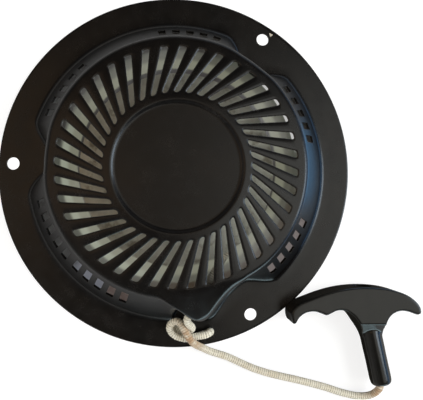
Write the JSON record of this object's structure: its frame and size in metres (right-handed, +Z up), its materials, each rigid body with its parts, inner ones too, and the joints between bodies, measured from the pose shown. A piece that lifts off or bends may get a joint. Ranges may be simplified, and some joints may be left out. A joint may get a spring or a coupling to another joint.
{
  "type": "recoil starter",
  "caption": "Recoil starter for a small engine: slotted pressed steel housing, spring-return rope reel with swing-out pawls, braided rope with a slip knot, and T-shaped pull handle.",
  "frame": {"origin": "centre of the circle of mounting holes, on the flange's underside, which lies on the engine's blower housing", "axes": "+Z up along the reel's axis, away from the engine; +X towards the wall's plain sector between two groups of vents, so that the rope leaves at 240 degrees round from +X"},
  "size_m": [0.3008, 0.2942, 0.05],
  "materials": {
    "black_paint": "semi-gloss black paint over pressed steel",
    "zinc_plate": "dull zinc plating with a faint brown passivation",
    "bright_steel": "turned and plated steel",
    "spring_steel": "blued, oiled spring steel",
    "bush_bronze": "oil-soaked sintered bronze",
    "braided_rope": "cream braided starter rope",
    "black_plastic": "moulded black plastic with a soft shine"
  },
  "bodies": {
    "housing": {"housing": "black_paint", "rope_eyelet": "bright_steel", "centre_post": "bright_steel", "centre_screw": "bright_steel", "brake_washer": "bright_steel", "brake_spring": "spring_steel", "rope_lead": "braided_rope"},
    "reel": {"reel_upper_plate": "zinc_plate", "reel_lower_plate": "zinc_plate", "reel_drum": "zinc_plate", "reel_bush": "bush_bronze", "reel_rivets": "bright_steel", "spring_case": "zinc_plate", "spring_keeper": "zinc_plate", "recoil_spring": "spring_steel", "rope_winding": "braided_rope", "rope_anchor_knot": "braided_rope", "pawl_pivots": "bright_steel", "pawl_springs": "spring_steel"},
    "first_pawl": {"pawl_1": "bright_steel"},
    "second_pawl": {"pawl_2": "bright_steel"},
    "guide": {"ratchet_guide": "zinc_plate"},
    "pull": {"rope": "braided_rope", "slip_knot": "braided_rope", "pull_handle": "black_plastic", "handle_insert": "bright_steel", "handle_knot": "braided_rope"}
  },
  "joints": [
    {"name": "reel_spin", "type": "hinge", "parent": "housing", "child": "reel", "pos_m": [0, 0, 0.022], "axis": [0, 0, -1], "range_deg": [0, 860], "stiffness_Nm_per_rad": 0.025, "springref_deg": -1145.92, "deforming": ["recoil_spring", "rope_winding"]},
    {"name": "rope_pull", "type": "slide", "parent": "housing", "child": "pull", "axis": [-0.5, -0.866, 0], "range_m": [0, 0.785]},
    {"name": "guide_turn", "type": "hinge", "parent": "reel", "child": "guide", "pos_m": [0, 0, 0.01], "axis": [0, 0, 1], "range_deg": [0, 25]},
    {"name": "first_pawl_swing", "type": "hinge", "parent": "reel", "child": "first_pawl", "pos_m": [0.03, 0, 0.0146], "axis": [0, 0, 1], "range_deg": [0, 16], "stiffness_Nm_per_rad": 0.01, "springref_deg": -22.92},
    {"name": "second_pawl_swing", "type": "hinge", "parent": "reel", "child": "second_pawl", "pos_m": [-0.03, 0, 0.0146], "axis": [0, 0, 1], "range_deg": [0, 16], "stiffness_Nm_per_rad": 0.01, "springref_deg": -22.92}
  ],
  "couplings": [
    {"joint": "rope_pull", "follows": "reel_spin", "m_per_rad": 0.052},
    {"joint": "first_pawl_swing", "follows": "guide_turn", "ratio": 0.64},
    {"joint": "second_pawl_swing", "follows": "guide_turn", "ratio": 0.64}
  ]
}
